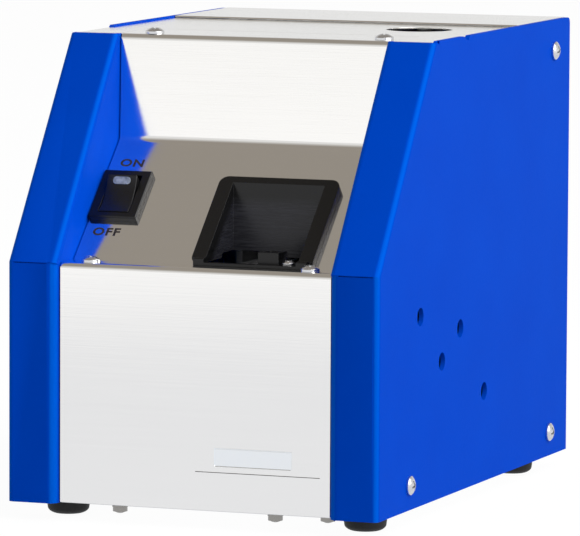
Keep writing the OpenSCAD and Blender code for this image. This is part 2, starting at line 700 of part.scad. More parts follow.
module cheek_profile(rear_top)
  polygon([[cheek_front, pan_t], [cheek_front, 88], [cheek_front + 12, cheek_top_z], [cheek_step, cheek_top_z],
           [cheek_step, rear_top], [cheek_back, rear_top], [cheek_back, pan_t]]);

module mech_frame() color("lightgray") placed() difference() {
  union() {
    across(frame_x[0], frame_x[0] + cheek_t) cheek_profile(bin_under_left(frame_x[0] + cheek_t));
    across(frame_x[1], frame_x[1] + cheek_t) cheek_profile(bin_under_right(frame_x[1]));
    // feet on the base pan, bent outwards
    translate([frame_x[0] - 12, cheek_front, pan_t]) cube([13, 56, cheek_t]);
    translate([frame_x[1] + 1, cheek_front, pan_t]) cube([13, 104, cheek_t]);
    // tie bar between the cheeks, over the rail's front
    translate([frame_x[0], cheek_front + 12, cheek_top_z - cheek_t]) cube([frame_x[1] - frame_x[0] + cheek_t, 14, cheek_t]);
  }
  for (at = frame_screw_at) translate([at[0], at[1], 0]) cylinder(h = 6, r = 1.6);
  // bearing seats, pivot pin holes and the pinion shaft's hole
  rod(frame_x[0] - 1, frame_x[1] + 5, brush_at, 5);
  rod(frame_x[0] - 1, frame_x[0] + 5, pinion_at, 5);
  rod(frame_x[0] - 1, frame_x[1] + 5, pivot, 2.5);
  // lightening windows
  for (y = [62, 84]) translate([-far / 4, y, 24]) cube([far / 2, 12, 26]);
  translate([-far / 4, 136, 14]) cube([far / 2, 22, 24]);
  rod(frame_x[1] - 5, frame_x[1] + 5, passing_screw_at, 1.6);
}

bin_path = [
  [bin_left, bin_top_z], [bin_left, left_knee_z], [rail_x - trough_half, trough_z],
  [rail_x - trough_half, trough_foot_z]];
bin_path_right = [
  [rail_x + trough_half, trough_foot_z], [rail_x + trough_half, trough_z], [bin_right, right_knee_z],
  [bin_right, bin_top_z]];

module bin_section() {
  folded(bin_path, bin_t);
  folded(bin_path_right, bin_t);
}

module bin_outline() polygon(concat(bin_path, bin_path_right));

module hopper_bin() color([0.75, 0.77, 0.78]) placed() difference() {
  union() {
    translate([0, bin_back, 0]) rotate([90, 0, 0]) linear_extrude(bin_back - bin_front) bin_section();
    for (y = [bin_front, bin_back - bin_t]) translate([0, y + bin_t, 0]) rotate([90, 0, 0])
      linear_extrude(bin_t) bin_outline();
    // the trough's foot, closed behind the scoop
    translate([rail_x - trough_half, bin_back - bin_t, trough_foot_z]) cube([2 * trough_half, bin_t, 10]);
  }
  // doorway for the scoop and the screws that the brush sweeps back
  translate([rail_x - trough_half + bin_t, bin_front - 1, trough_foot_z - 1])
    cube([2 * (trough_half - bin_t), bin_t + 2, 56]);
}

// ---------------------------------------------------------------- scoop and drive

// Scoop plate as (Y, Z) about the pivot, drawn raised, so that its top runs on from the rail.
module scoop_profile() {
  polygon([[-4, 0], [3, rail_top_z - pivot[1]], [36, rail_top_z - pivot[1] + 4], [36, rail_top_z - pivot[1] - 6],
           [10, -3], [0, -5]]);
}

module about_pivot(turn) translate([0, pivot[0], pivot[1]]) rotate([turn, 0, 0]) children();

module scoop_block() color("silver") placed() about_pivot(-scoop_swing) difference() {
  across(rail_x - scoop_w / 2, rail_x + scoop_w / 2) scoop_profile();
  rod(0, far / 4, [0, 0], 5);
  // groove that lines up with the rail's slot
  translate([rail_x - rail_slot / 2, 0, rail_top_z - pivot[1] - 8]) rotate([6.9, 0, 0]) cube([rail_slot, 60, 20]);
}

module scoop_hub() color("gray") placed() about_pivot(0) difference() {
  rod(gear_x - 2, rail_x + scoop_w / 2 + 2, [0, 0], 5);
  rod(0, far / 4, [0, 0], 2.5 + run_fit);
}

module sector_gear() color("goldenrod") placed() about_pivot(0) difference() {
  sector_turn = mesh_angle - scoop_swing / 2;
  across(gear_x - 2, gear_x + 2) {
    rotate(mesh_angle) gear_profile(sector_teeth, -round((scoop_swing + 12) / 360 * sector_teeth), 2, 0);
    rotate(sector_turn) intersection() {
      difference() {
        circle(gear_m * (sector_teeth / 2 - 1.1), $fn = 96);
        translate([17, 0]) circle(4.5);
      }
      polygon([[-9, 0], [0, -8], [24, -18], [40, -18.5], [40, 18.5], [24, 18], [0, 8]]);
    }
  }
  rod(-far / 4, far / 4, [0, 0], 5);
}

module scoop_pivot_pin() color("silver") placed() rod(frame_x[0] - 1, frame_x[1] + cheek_t + 1, pivot, 2.5);

module drive_motor() color([0.3, 0.3, 0.32]) placed() {
  rod(-56, -30, pinion_at, 12);
  rod(-57.6, -56, pinion_at, 4);
}

module motor_gearbox() color("silver") placed() difference() {
  union() {
    rod(-30, -10, pinion_at, 12.5);
    translate([-30, pinion_at[0] - 9, pan_t]) cube([18, 18, 10]);
  }
  rod(-22, -5, pinion_at, shaft_r + run_fit);
}

module drive_shaft() color("silver") placed() rod(-22, gear_x + 4, pinion_at, shaft_r);

module drive_pinion() color("goldenrod") placed() difference() {
  translate([0, pinion_at[0], pinion_at[1]]) across(gear_x - 2.5, gear_x + 2.5)
    rotate(mesh_angle + 180 + 180 / pinion_teeth) gear_profile(pinion_teeth, 0, pinion_teeth - 1, 1);
  rod(-far / 4, far / 4, pinion_at, shaft_r);
}

module belt_pulley(at, r) difference() {
  union() {
    rod(belt_x - 2, belt_x + 2, at, r);
    for (x = [belt_x - 2.6, belt_x + 2]) rod(x, x + 0.6, at, r + 1.8);
  }
  rod(-far / 4, far / 4, at, shaft_r);
}

module drive_pulley() color("dimgray") placed() belt_pulley(pinion_at, drive_pulley_r);
module brush_pulley() color("dimgray") placed() belt_pulley(brush_at, brush_pulley_r);

// Flat belt round both pulleys, a hair clear of them.
module drive_belt() color([0.1, 0.1, 0.1]) placed() across(belt_x - 1.6, belt_x + 1.6) difference() {
  belt_outline(drive_pulley_r + 0.1 + belt_t);
  belt_outline(drive_pulley_r + 0.1);
}

module belt_outline(r) {
  run = brush_at - pinion_at;
  up = atan2(run[1], run[0]);
  polygon(concat([for (a = [-90:10:90]) brush_at + r * [cos(up + a), sin(up + a)]],
                 [for (a = [90:10:270]) pinion_at + r * [cos(up + a), sin(up + a)]]));
}

module brush_shaft() color("silver") placed() rod(belt_x - 4, frame_x[1] + cheek_t + 2, brush_at, shaft_r);

module brush_hub() color([0.2, 0.2, 0.2]) placed() difference() {
  rod(rail_x - 7, rail_x + 7, brush_at, 4.5);
  rod(0, far / 4, brush_at, shaft_r);
}

// Tufts in five rings of twelve, as thin rods round the hub.
module brush_bristles() color([0.85, 0.85, 0.8]) placed()
  for (ring = [-2:2], k = [0:9]) translate([rail_x + 2.6 * ring, brush_at[0], brush_at[1]])
    rotate([36 * k + 18 * (ring % 2), 0, 0]) translate([0, 0, 4.5]) cylinder(h = brush_r - 4.5, r = 0.7, $fn = 8);

module shaft_bearings() color("silver") placed() {
  for (x = [frame_x[0], frame_x[1]]) bearing(x, brush_at);
  bearing(frame_x[0], pinion_at);
}

module bearing(x, at) difference() {
  rod(x, x + cheek_t + 0.6, at, 5);
  rod(-far / 4, far / 4, at, shaft_r + run_fit);
}

// ---------------------------------------------------------------- rail

module rail_half() difference() {
  translate([rail_slot / 2, rail_front, carrier_z]) cube([rail_half - rail_slot / 2, rail_back - rail_front, rail_h]);
  // chamfered top edge and a step that carries the screw heads
  translate([rail_half, rail_front - 1, rail_top_z]) rotate([0, 45, 0])
    translate([-1.4, 0, -1.4]) cube([2.8, far, 2.8]);
  for (y = rail_bolt_y) translate([-far / 8, y, rail_top_z - 9]) rotate([0, 90, 0]) cylinder(h = far / 4, r = 1.5 + run_fit);
}
rail_bolt_y = [48, 76, 106];

module rail_right() color("silver") placed() translate([rail_x, 0, 0]) rail_half();
module rail_left() color("silver") placed() translate([rail_x, 0, 0]) mirror([1, 0, 0]) rail_half();

module rail_bolts() color("dimgray") placed() for (y = rail_bolt_y)
  translate([rail_x + rail_half, y, rail_top_z - 9]) rotate([0, 90, 0]) {
    cylinder(h = 2.4, r = 2.75);
    translate([0, 0, -2 * rail_half]) cylinder(h = 2 * rail_half, r = 1.5);
  }

// Bar under the rail, with the armature that the coil pulls.
module rail_carrier() color("gray") placed() {
  translate([rail_x - 6, 46, carrier_z - carrier_h]) cube([12, 66, carrier_h]);
  translate([rail_x - 7, coil_y + 15, carrier_z - carrier_h - 22]) cube([14, 4, 22]);
}

module leaf_springs() color("silver") placed() for (y = leaf_y)
  translate([rail_x - leaf_w / 2, y - leaf_t, leaf_foot_z]) cube([leaf_w, leaf_t, carrier_z - carrier_h - leaf_foot_z]);

// Blocks on the base that hold the leaves' feet.
module spring_clamps() color("gray") placed() for (y = leaf_y) difference() {
  translate([rail_x - 9, y - 8, pan_t]) cube([18, 16, 20]);
  translate([rail_x - leaf_w / 2 - 0.6, y - leaf_t - 1.2, leaf_foot_z - 1.2]) cube([leaf_w + 1.2, leaf_t + 2.4, 20]);
}

module coil_core() color("dimgray") placed() {
  translate([rail_x - 7, coil_y - 6, 16]) cube([14, 6, 36]);
  for (z = [16, 31, 46]) translate([rail_x - 7, coil_y - 0.01, z]) cube([14, 13.5, 6]);
  translate([rail_x - 9, coil_y - 8, pan_t]) cube([18, 12, 14.8]);
}

module coil_winding() color([0.6, 0.3, 0.12]) placed() difference() {
  translate([rail_x - 11, coil_y + 0.4, 31 - 3.6]) cube([22, 12, 6 + 7.2]);
  translate([rail_x - 7.1, coil_y - 1, 30.9]) cube([14.2, 20, 6.2]);
}

// Plate that lets only properly hanging screws pass along the rail.
module passing_plate() color("silver") placed() difference() {
  union() {
    translate([rail_x - 8, 98, 78.2]) cube([frame_x[1] - rail_x + 8, 7, 1.5]);
    translate([frame_x[1] - 1.5, 96, 75]) cube([1.5, 11, 13]);
  }
  rod(frame_x[1] - 5, frame_x[1] + 5, passing_screw_at, 1.6);
}

// ---------------------------------------------------------------- escapement

module escapement_bracket() color("lightgray") placed() difference() {
  foot_top = pan_t + shelf_t;
  across(rail_x - bracket_half, rail_x + bracket_half)
    folded(bent([[38, foot_top], [bracket_y + shelf_t, foot_top], [bracket_y + shelf_t, shelf_z], [37.2, shelf_z]],
                [0.6, 0.6], 3), shelf_t);
  for (at = bracket_screw_at) translate([at[0], at[1], 0]) cylinder(h = 8, r = 1.35);
  translate([disc_at[0], disc_at[1], shelf_z - 5]) cylinder(h = 10, r = 4);
}

module escapement_motor() color([0.3, 0.3, 0.32]) placed() translate([disc_at[0], disc_at[1], 0]) {
  translate([0, 0, shelf_z - 26]) cylinder(h = 26, r = 9);
  translate([0, 0, shelf_z - 30]) cylinder(h = 4, r = 3);
  difference() {
    translate([0, 0, shelf_z - 0.01]) cylinder(h = shelf_t + 0.8, r = 3.8);
    translate([0, 0, shelf_z - 1]) cylinder(h = 10, r = 1.5 + run_fit);
  }
}

module escapement_disc() color("silver") placed() translate([disc_at[0], disc_at[1], 0]) difference() {
  union() {
    translate([0, 0, disc_z]) cylinder(h = disc_t, r = disc_r);
    translate([0, 0, shelf_z]) cylinder(h = disc_z - shelf_z, r = 1.5);
    translate([0, 0, disc_z + disc_t]) cylinder(h = 0.4, r = 3);
  }
  for (k = [0:3]) rotate([0, 0, 90 * k]) translate([-rail_slot / 2, disc_r - 4, disc_z - 1])
    cube([rail_slot, 10, disc_t + 2]);
}

// Ring that keeps the screws in the disc's notches, open towards the rail.
module guide_ring() color("gray") placed() difference() {
  intersection() {
    translate([disc_at[0], disc_at[1], shelf_z + shelf_t]) cylinder(h = ledge_z - shelf_z - shelf_t, r = ring_r);
    translate([disc_at[0] - 12.5, lip_back - 0.6, shelf_z]) cube([25, 24.4, far]);
  }
  translate([disc_at[0], disc_at[1], 0]) cylinder(h = far, r = disc_r + 0.25);
  translate([rail_x - 4, disc_at[1], 0]) cube([8, 20, far]);
  translate([window_screw_at[0], window_screw_at[1], 0]) cylinder(h = far, r = 1 + run_fit);
}

module photo_sensors() color([0.1, 0.1, 0.1]) placed() for (side = [-1, 1])
  translate([rail_x + side * 14 - 1.4, disc_at[1] - 3, shelf_z + shelf_t]) cube([2.8, 6, 6.5]);

module mechanism_screws() color("silver") placed() {
  for (at = board_holes) translate([at[0], at[1], board_z + 1.6]) pan_screw(4);
  translate([frame_x[1] - 1.5, passing_screw_at[0], passing_screw_at[1]]) rotate([0, -90, 0]) pan_screw(4);
}

// ---------------------------------------------------------------- output

base_pan();
side_cover_left();
side_cover_right();
front_cover();
deck_cover();
top_plate();
top_crossbar();
rear_panel();
hopper_lid();
hinge_pin();
window_bezel();
bit_guide();
window_screw();
switch_body();
switch_rocker();
switch_lens();
rubber_feet();
foot_screws();
cover_screws();
ledge_screws();
top_screws();
base_screws();
rear_screws();
power_jack();
jack_nut();
control_board();
board_components();
board_standoffs();
mechanism_screws();
mech_frame();
hopper_bin();
scoop_block();
scoop_hub();
sector_gear();
scoop_pivot_pin();
drive_motor();
motor_gearbox();
drive_shaft();
drive_pinion();
drive_pulley();
drive_belt();
brush_pulley();
brush_shaft();
brush_hub();
brush_bristles();
shaft_bearings();
rail_left();
rail_right();
rail_carrier();
rail_bolts();
leaf_springs();
spring_clamps();
coil_core();
coil_winding();
passing_plate();
escapement_bracket();
escapement_motor();
escapement_disc();
guide_ring();
photo_sensors();
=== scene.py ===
"""Looks of an automatic screw feeder: finishes, rounded edges, lettering at the switch, and a pale studio.

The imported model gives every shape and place. Lengths are in metres, X to the right, Y to the rear, Z up.
"""
import json
from math import cos, pi, radians, sin

import bpy
from mathutils import Matrix, Vector


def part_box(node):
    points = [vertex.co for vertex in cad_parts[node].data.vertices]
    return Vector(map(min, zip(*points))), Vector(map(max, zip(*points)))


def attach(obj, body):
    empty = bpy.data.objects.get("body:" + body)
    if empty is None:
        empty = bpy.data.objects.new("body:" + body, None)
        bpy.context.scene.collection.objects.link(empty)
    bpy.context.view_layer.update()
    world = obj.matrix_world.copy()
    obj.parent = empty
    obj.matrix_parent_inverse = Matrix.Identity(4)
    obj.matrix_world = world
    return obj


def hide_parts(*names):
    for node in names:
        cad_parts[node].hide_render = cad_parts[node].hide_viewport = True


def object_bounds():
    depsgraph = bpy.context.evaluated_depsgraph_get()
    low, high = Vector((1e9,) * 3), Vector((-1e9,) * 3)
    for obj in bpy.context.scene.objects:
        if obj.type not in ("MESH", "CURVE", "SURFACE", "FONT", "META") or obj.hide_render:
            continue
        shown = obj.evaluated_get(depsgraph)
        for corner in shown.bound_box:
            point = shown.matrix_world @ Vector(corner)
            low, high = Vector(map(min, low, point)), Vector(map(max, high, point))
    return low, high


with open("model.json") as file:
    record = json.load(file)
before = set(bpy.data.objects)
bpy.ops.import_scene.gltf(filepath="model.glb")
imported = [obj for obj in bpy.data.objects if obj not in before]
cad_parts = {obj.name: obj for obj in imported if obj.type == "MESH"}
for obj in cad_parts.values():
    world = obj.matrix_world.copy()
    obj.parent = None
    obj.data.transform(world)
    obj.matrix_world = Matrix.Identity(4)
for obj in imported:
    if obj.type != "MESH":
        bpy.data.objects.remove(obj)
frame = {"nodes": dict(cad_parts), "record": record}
cad_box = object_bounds()

MM = 0.001
RIGHT = Vector((1, 0, 0))
REARWARD = Vector((0, 1, 0))
DOWN = Vector((0, 0, -1))

BODY_OF = {node: body
           for body, members in frame["record"]["behaviour"]["bodies"].items()
           for node in members}
SLOT_OF = {part["node"]: part["material_slot"] for part in frame["record"]["subparts"]}

# The sloping sheet, met between the switch and the window: a point on its upper face, the way out of it
# and the way up it.
OVER_SLOPE = Vector((-20 * MM, -60 * MM, 1))
SLOPE_POINT, OUT = frame["nodes"]["deck_cover"].ray_cast(OVER_SLOPE, DOWN)[1:3]
UP_SLOPE = OUT.cross(RIGHT)


# ---------------------------------------------------------------- node maths


class Value:
    """A number or colour that changes over a surface. Sums and products on it add Math nodes."""

    def __init__(self, nodes, socket):
        self.nodes = nodes
        self.socket = socket

    def math(self, operation, *others):
        return self.nodes.math(operation, self, *others)

    def __add__(self, other):
        return self.math("ADD", other)

    def __sub__(self, other):
        return self.math("SUBTRACT", other)

    def __rsub__(self, other):
        return self.nodes.math("SUBTRACT", other, self)

    def __mul__(self, other):
        return self.math("MULTIPLY", other)

    def __abs__(self):
        return self.math("ABSOLUTE")

    __radd__ = __add__
    __rmul__ = __mul__

    def above(self, level):
        """1 above level and 0 below it."""
        return self.math("GREATER_THAN", level)

    def ramp(self, low, high):
        """0 below low, 1 above high and a straight rise between them."""
        return self.nodes.node("ShaderNodeMapRange", {"clamp": True},
                               {"Value": self, "From Min": low, "From Max": high})


class Nodes:
    """A node tree under construction. Every node in it comes from node()."""

    def __init__(self, tree):
        self.tree = tree

    def fill(self, node, sockets):
        """Gives the node's sockets, by name or number, their links or values."""
        for name, value in sockets.items():
            socket = node.inputs[name.replace("_", " ")] if isinstance(name, str) else node.inputs[name]
            if isinstance(value, Value):
                self.tree.links.new(value.socket, socket)
            elif isinstance(value, tuple) and len(value) == 3 and socket.type == "RGBA":
                socket.default_value = (*value, 1)
            else:
                socket.default_value = value

    def node(self, kind, settings=None, sockets=None, output=0):
        """Adds a node of this kind and gives one of its outputs, by name or number."""
        node = self.tree.nodes.new(kind)
        for name, value in (settings or {}).items():
            setattr(node, name, value)
        self.fill(node, sockets or {})
        return Value(self, node.outputs[output])

    def math(self, operation, *values):
        return self.node("ShaderNodeMath", {"operation": operation}, dict(enumerate(values)))

    def part(self, vector, name):
        """The X, Y or Z of a vector."""
        return self.node("ShaderNodeSeparateXYZ", sockets={"Vector": vector}, output=name)

    def blend(self, factor, low, high):
        """A colour from low to high."""
        return self.node("ShaderNodeMix", {"data_type": "RGBA"},
                         {"Factor": factor, 6: low, 7: high}, output=2)

    def ray(self, kind):
        """1 for a ray of this kind, as the Light Path node names it."""
        return self.node("ShaderNodeLightPath", output=f"Is {kind} Ray")


class Finish(Nodes):
    """A material under construction, with one Principled shader."""

    def __init__(self, name, **sockets):
        self.material = bpy.data.materials.new(name)
        self.material.use_nodes = True
        super().__init__(self.material.node_tree)
        self.shader = self.tree.nodes["Principled BSDF"]
        self.place = self.node("ShaderNodeTexCoord", output="Object")
        self.set(**sockets)

    def set(self, **sockets):
        """Gives the shader's sockets their links or values. An underscore stands for a space."""
        self.fill(self.shader, sockets)

    def noise(self, pitch, detail=2.0, roughness=0.5, stretch=(1, 1, 1)):
        """Noise from 0 to 1 whose grains are about pitch metres wide, times stretch along each axis."""
        scaled = self.node("ShaderNodeVectorMath", {"operation": "MULTIPLY"},
                           {0: self.place, 1: tuple(1 / (pitch * times) for times in stretch)})
        return self.node("ShaderNodeTexNoise", None,
                         {"Vector": scaled, "Scale": 1.0, "Detail": detail, "Roughness": roughness})

    def bump(self, height, depth):
        """Lets height, from 0 to 1, stand depth metres out of the surface."""
        self.set(Normal=self.node("ShaderNodeBump", None, {"Height": height, "Distance": depth}))


# ---------------------------------------------------------------- finishes


def painted_blue():
    """Matt powder coat with a fine orange peel, and a painted highlight: lighter blue along the outer folds.
    """
    paint = Finish("powder_coat_blue", Specular_IOR_Level=0.01, Specular_Tint=(0.05, 0.35, 1.0))
    cloud = paint.noise(30 * MM, detail=3).ramp(0.3, 0.7)
    grain = paint.noise(0.9 * MM)
    # painted highlight: where the surface faces between front and side, at the outer folds, the blue is
    # painted lighter
    facing = paint.node("ShaderNodeTexCoord", output="Normal")
    sideways = abs(paint.part(facing, "X"))
    forwards = 0 - paint.part(facing, "Y")
    fold_highlight = (sideways * forwards).ramp(0.2, 0.42)
    flat_blue = paint.blend(cloud, (0.0, 0.069, 0.645), (0.0, 0.075, 0.675))
    # the lighter blue of the painted highlight on the folds
    highlight_blue = (0.0, 0.125, 0.80)
    paint.set(Base_Color=paint.blend(fold_highlight, flat_blue, highlight_blue), Roughness=0.42 + grain * 0.12)
    paint.bump(grain, 0.03 * MM)
    return paint


def brushed_stainless():
    """Bright stainless sheet with a fine grain along X."""
    steel = Finish("brushed_stainless", Metallic=1.0)
    fine = steel.noise(0.2 * MM, roughness=0.6, stretch=(200, 1, 1))
    coarse = steel.noise(1.1 * MM, stretch=(60, 1, 1))
    patches = steel.noise(40 * MM, stretch=(2, 1, 1))
    streaks = (fine * 0.6 + coarse * 0.4).ramp(0.3, 0.7)
    steel.set(Base_Color=steel.blend(streaks, (0.9506, 0.9408, 0.9212), (0.97, 0.96, 0.94)))
    steel.set(Roughness=0.07 + coarse * 0.03 + patches * 0.03)
    steel.bump(fine * 0.9 + coarse * 0.1, 0.008 * MM)
    return steel


def zinc_sheet():
    """Grey galvanised sheet with soft cloudy patches."""
    zinc = Finish("zinc_sheet", Metallic=1.0)
    patches = zinc.noise(12 * MM, detail=4)
    zinc.set(Base_Color=zinc.blend(patches, (0.56, 0.57, 0.60), (0.68, 0.69, 0.70)))
    zinc.set(Roughness=0.36 + patches * 0.12)
    zinc.bump(zinc.noise(1.2 * MM), 0.02 * MM)
    return zinc


def black_plastic():
    """Black moulding. The walls below the slope are painted a lighter grey than the rim, as painted light
    for the light they catch, with uneven level streaks.
    """
    plastic = Finish("black_plastic", Specular_IOR_Level=0.38)
    grain = plastic.noise(0.5 * MM)
    streaks = plastic.noise(0.6 * MM, detail=3, roughness=0.65, stretch=(16, 16, 1)).ramp(0.4, 0.72)
    rearward = plastic.part(plastic.place, "Y") - SLOPE_POINT.y
    upward = plastic.part(plastic.place, "Z") - SLOPE_POINT.z
    out_of_slope = upward * OUT.z + rearward * OUT.y
    # painted light: the walls below the slope get a lighter grey than the rim for the light they catch;
    # their streaks are the moulding's own
    inside = 1 - out_of_slope.ramp(-3 * MM, -0.5 * MM)
    lit_streaked_wall_grey = plastic.blend(streaks, (0.018, 0.018, 0.024), (0.044, 0.045, 0.055))
    rim_black = (0.0055, 0.0055, 0.006)
    plastic.set(Base_Color=plastic.blend(inside, rim_black, lit_streaked_wall_grey))
    plastic.set(Roughness=0.24 + inside * streaks * 0.12)
    plastic.bump(grain * 0.5 + inside * streaks * 0.5, 0.015 * MM)
    return plastic


def switch_black():
    """Glossier black of the rocker switch."""
    plastic = Finish("switch_black", Specular_IOR_Level=0.45)
    grain = plastic.noise(0.4 * MM)
    plastic.set(Base_Color=plastic.blend(grain, (0.004, 0.004, 0.005), (0.008, 0.008, 0.009)))
    plastic.set(Roughness=0.24 + grain * 0.1)
    plastic.bump(grain, 0.01 * MM)
    return plastic


def lens_white():
    """Milky marker with uneven tone."""
    lens = Finish("marker_white", Roughness=0.3)
    patches = lens.noise(2.2 * MM, detail=3, roughness=0.6).ramp(0.35, 0.65)
    lens.set(Base_Color=lens.blend(patches, (0.15, 0.19, 0.26), (0.46, 0.52, 0.62)))
    return lens


def rubber_black():
    """Dull rubber with a little dust."""
    rubber = Finish("rubber_black", Specular_IOR_Level=0.4)
    dust = rubber.noise(4 * MM, detail=4).ramp(0.45, 0.8)
    grain = rubber.noise(0.6 * MM)
    rubber.set(Base_Color=rubber.blend(dust, (0.010, 0.010, 0.010), (0.03, 0.029, 0.028)))
    rubber.set(Roughness=0.5 + grain * 0.2)
    rubber.bump(grain, 0.06 * MM)
    return rubber


def printed_ink():
    """Worn dark print."""
    ink = Finish("printed_ink", Roughness=0.55)
    wear = ink.noise(0.7 * MM, detail=3, roughness=0.6).ramp(0.45, 0.75)
    ink.set(Base_Color=ink.blend(wear, (0.022, 0.016, 0.011), (0.07, 0.055, 0.04)))
    return ink


def label_foil():
    """Blank satin foil, a little colder than the steel."""
    foil = Finish("label_foil", Metallic=1.0)
    patches = foil.noise(2 * MM, detail=3)
    foil.set(Base_Color=foil.blend(patches, (0.94, 0.97, 1.0), (0.97, 0.99, 1.0)))
    foil.set(Roughness=0.16 + patches * 0.08)
    return foil


def bright_screw():
    """Zinc-plated screws, darker and warmer under the base as painted shade."""
    metal = Finish("bright_screw", Metallic=1.0)
    patches = metal.noise(1.2 * MM, detail=3)
    # painted shade: screws below the base take a darker, warmer grey
    shaded_under_base = 1 - metal.part(metal.place, "Z").ramp(5.5 * MM, 8 * MM)
    bright = metal.blend(patches, (0.64, 0.65, 0.67), (0.85, 0.85, 0.87))
    dull = (0.36, 0.345, 0.32)
    metal.set(Base_Color=metal.blend(shaded_under_base, bright, dull))
    metal.set(Roughness=0.2 + patches * 0.12)
    metal.bump(patches, 0.02 * MM)
    return metal


def turned_metal(name, low, high, roughness, depth=0.01 * MM):
    """A plain metal with small changes of tone and gloss."""
    metal = Finish(name, Metallic=1.0)
    patches = metal.noise(3 * MM, detail=3)
    grain = metal.noise(0.4 * MM)
    metal.set(Base_Color=metal.blend(patches, low, high), Roughness=roughness + grain * 0.1)
    metal.bump(grain, depth)
    return metal


def moulded(name, low, high, roughness, depth=0.02 * MM):
    """A plain moulded or coated surface."""
    plastic = Finish(name)
    patches = plastic.noise(8 * MM, detail=3)
    grain = plastic.noise(0.5 * MM)
    plastic.set(Base_Color=plastic.blend(patches, low, high), Roughness=roughness + grain * 0.12)
    plastic.bump(grain, depth)
    return plastic


def board_green():
    """Solder mask over copper tracks that run along both axes."""
    board = Finish("board_green", Roughness=0.3)
    across = board.noise(4 * MM, detail=1, roughness=0.4, stretch=(6, 0.5, 1)).above(0.56)
    along = board.noise(4 * MM, detail=1, roughness=0.4, stretch=(0.5, 6, 1)).above(0.6)
    tracks = board.math("MAXIMUM", across, along)
    board.set(Base_Color=board.blend(tracks, (0.008, 0.075, 0.03), (0.02, 0.16, 0.06)))
    board.bump(tracks, 0.03 * MM)
    return board


def copper_wire():
    """Turns of enamelled wire one above the other, with a painted highlight on each crest and painted shade
    in the grooves between turns.
    """
    wire_width = 0.8 * MM
    wire = Finish("copper_wire", Metallic=1.0, Roughness=0.3)
    angle = wire.part(wire.place, "Z") * (2 * pi / wire_width)
    turns = angle.math("SINE") * 0.5 + 0.5
    # painted highlight and shade: lighter copper on each turn's crest, darker in the grooves
    wire.set(Base_Color=wire.blend(turns, (0.20, 0.05, 0.015), (0.62, 0.23, 0.08)))
    wire.bump(turns, 0.2 * MM)
    return wire


FINISHES = {
    "painted_blue": painted_blue(),
    "brushed_stainless": brushed_stainless(),
    "zinc_sheet": zinc_sheet(),
    "black_plastic": black_plastic(),
    "switch_black": switch_black(),
    "lens_white": lens_white(),
    "rubber_black": rubber_black(),
    "bright_screw": bright_screw(),
    "board_green": board_green(),
    "component_black": moulded("component_black", (0.02, 0.02, 0.022), (0.04, 0.04, 0.042), 0.42),
    "brass": turned_metal("brass", (0.72, 0.50, 0.18), (0.82, 0.60, 0.26), 0.26),
    "bin_grey": turned_metal("bin_grey", (0.52, 0.53, 0.54), (0.64, 0.65, 0.66), 0.34, 0.03 * MM),
    "tool_steel": turned_metal("tool_steel", (0.46, 0.46, 0.47), (0.58, 0.58, 0.58), 0.28),
    "dark_steel": turned_metal("dark_steel", (0.20, 0.20, 0.21), (0.30, 0.30, 0.31), 0.4),
    "ground_shaft": turned_metal("ground_shaft", (0.66, 0.67, 0.68), (0.78, 0.78, 0.79), 0.16),
    "motor_can": turned_metal("motor_can", (0.34, 0.34, 0.36), (0.44, 0.44, 0.46), 0.36),
    "pulley_black": moulded("pulley_black", (0.02, 0.02, 0.022), (0.035, 0.035, 0.037), 0.5),
    "belt_rubber": moulded("belt_rubber", (0.012, 0.012, 0.012), (0.03, 0.03, 0.03), 0.68, 0.06 * MM),
    "bristle": moulded("bristle", (0.02, 0.018, 0.016), (0.06, 0.052, 0.045), 0.6),
    "copper_wire": copper_wire(),
}


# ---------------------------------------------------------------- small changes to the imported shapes

NEAR = 0.1 * MM                 # a point this near to an edge lies on it


def moved(piece, chosen, move):
    """Moves the points of piece that chosen picks, each by what move gives for it."""
    for point in piece.data.vertices:
        if chosen(point.co):
            point.co += Vector(move(point.co))


def top_of(piece):
    """The height of piece's highest point."""
    return max(point.co.z for point in piece.data.vertices)


def flatter_switch_frame(piece):
    """Lowers the frame's rim, widens it a little and carries it up the slope."""
    rim_drop = 0.7 * MM
    rim_depth = 1.2 * MM            # the rim is all that lies within this of the frame's top
    carried_up = 0.6 * MM
    carried_above = -0.5 * MM       # what stays put ends just under the slope's upper face
    wider_right, wider_left = 0.3 * MM, -0.4 * MM
    side_from = 7 * MM              # a side begins so far from the switch's middle
    low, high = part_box("switch_body")
    middle = (low.x + high.x) / 2

    def height(at):
        return (at - SLOPE_POINT).dot(OUT)

    rim = max(height(point.co) for point in piece.data.vertices)
    moved(piece, lambda at: height(at) > carried_above, lambda at: UP_SLOPE * carried_up)
    moved(piece, lambda at: height(at) > rim - rim_depth, lambda at: OUT * -rim_drop)
    moved(piece, lambda at: abs(at.x - middle) > side_from,
          lambda at: (wider_right if at.x > middle else wider_left, 0, 0))


def chamfered_lid(piece):
    """Leans the lid's front edge back over its whole thickness."""
    chamfer = 0.45 * MM
    front = min(point.co.y for point in piece.data.vertices)
    top = top_of(piece)
    moved(piece, lambda at: at.y < front + NEAR and at.z > top - NEAR, lambda at: (0, chamfer, 0))


def lower_front_edge(piece):
    """Lets the cover's top edge lie just under the top plate, as far back as the deck's flange reaches."""
    drop = 0.9 * MM
    edge_depth = 0.4 * MM           # the edge is all that lies within this of the cover's top
    flange_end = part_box("deck_cover")[1].y
    top = top_of(piece)
    moved(piece, lambda at: at.y < flange_end + NEAR and at.z > top - edge_depth,
          lambda at: (0, 0, top - drop - at.z))


